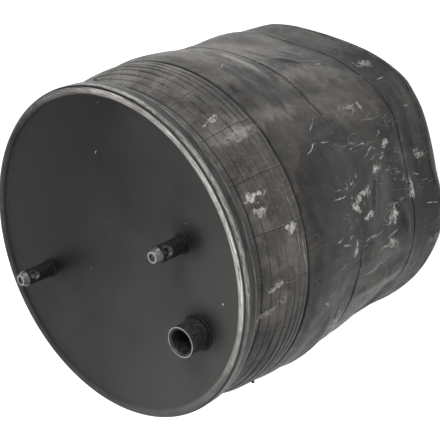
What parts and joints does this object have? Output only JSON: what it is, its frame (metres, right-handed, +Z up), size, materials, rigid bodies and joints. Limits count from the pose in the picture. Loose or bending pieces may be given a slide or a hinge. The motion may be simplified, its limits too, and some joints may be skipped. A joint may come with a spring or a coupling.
{
  "type": "air spring",
  "caption": "Rolling-lobe air spring: crimped steel bead plate with studs and an air port, a moulded rubber sleeve, and a steel piston with a bump stop inside.",
  "frame": {"origin": "centre of the piston foot's underside, on the surface that the spring stands on", "axes": "+Z up along the stroke, from the piston to the bead plate; +X along the stud line, from stud_left to stud_right"},
  "size_m": [0.3, 0.3, 0.393],
  "materials": {
    "plate_paint": "satin black paint, worn to bare steel on the rim and the crimp",
    "stud_steel": "satin black paint with a bare steel tip",
    "port_paint": "satin black paint with a bright worn mouth",
    "bead_wire": "bronze-coated drawn wire",
    "sleeve_rubber": "matt moulded rubber, scuffed and chalky",
    "plated_steel": "zinc plated",
    "buffer_rubber": "matt moulded rubber",
    "piston_paint": "satin black paint"
  },
  "bodies": {
    "piston": {"lower_bead_wire": "bead_wire", "end_closure": "plated_steel", "bump_stop_plate": "plated_steel", "bump_stop": "buffer_rubber", "sealing_washer": "plated_steel", "centre_bolt": "plated_steel", "lock_washer": "plated_steel", "centre_nut": "plated_steel", "piston_shell": "piston_paint", "piston_column": "piston_paint", "piston_foot": "piston_paint", "foot_nut_1": "plated_steel", "foot_nut_2": "plated_steel", "foot_nut_3": "plated_steel", "foot_nut_4": "plated_steel"},
    "plate": {"bead_plate": "plate_paint", "stud_left": "stud_steel", "stud_right": "stud_steel", "air_port": "port_paint", "upper_bead_wire": "bead_wire", "bellows_sleeve": "sleeve_rubber"}
  },
  "joints": [
    {"name": "piston_stroke", "type": "slide", "parent": "piston", "child": "plate", "axis": [0, 0, 1], "range_m": [-0.095, 0.12], "stiffness_N_per_m": 4000, "springref_m": 0.012, "deforming": ["bellows_sleeve"]}
  ]
}
